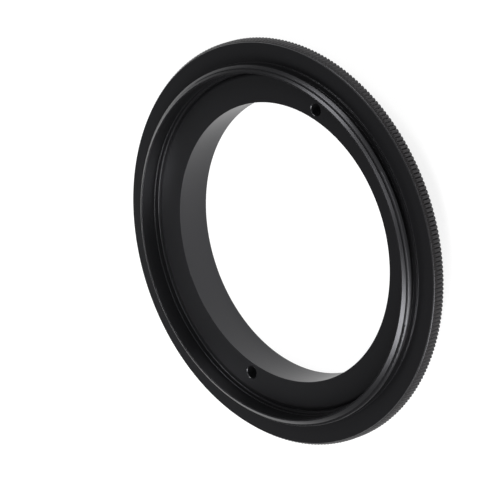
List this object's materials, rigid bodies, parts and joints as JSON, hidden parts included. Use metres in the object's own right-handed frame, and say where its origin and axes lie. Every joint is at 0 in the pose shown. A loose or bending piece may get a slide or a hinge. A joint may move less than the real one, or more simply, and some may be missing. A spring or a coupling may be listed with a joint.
{
  "type": "macro reverse ring",
  "caption": "Flat black turned ring: knurled flange, short outside filter thread round a recessed face, wide bore and a three-claw bayonet collar behind.",
  "frame": {"origin": "on the ring's axis at the rear end of the bayonet collar, which the ring rests on", "axes": "+Z along the ring's axis, from the bayonet end to the filter thread; +X through one spanner hole"},
  "size_m": [0.065, 0.065, 0.0093],
  "materials": {
    "anodised_aluminium": "black anodised, satin, turned"
  },
  "bodies": {
    "root": {"reverse_ring": "anodised_aluminium"}
  },
  "joints": []
}
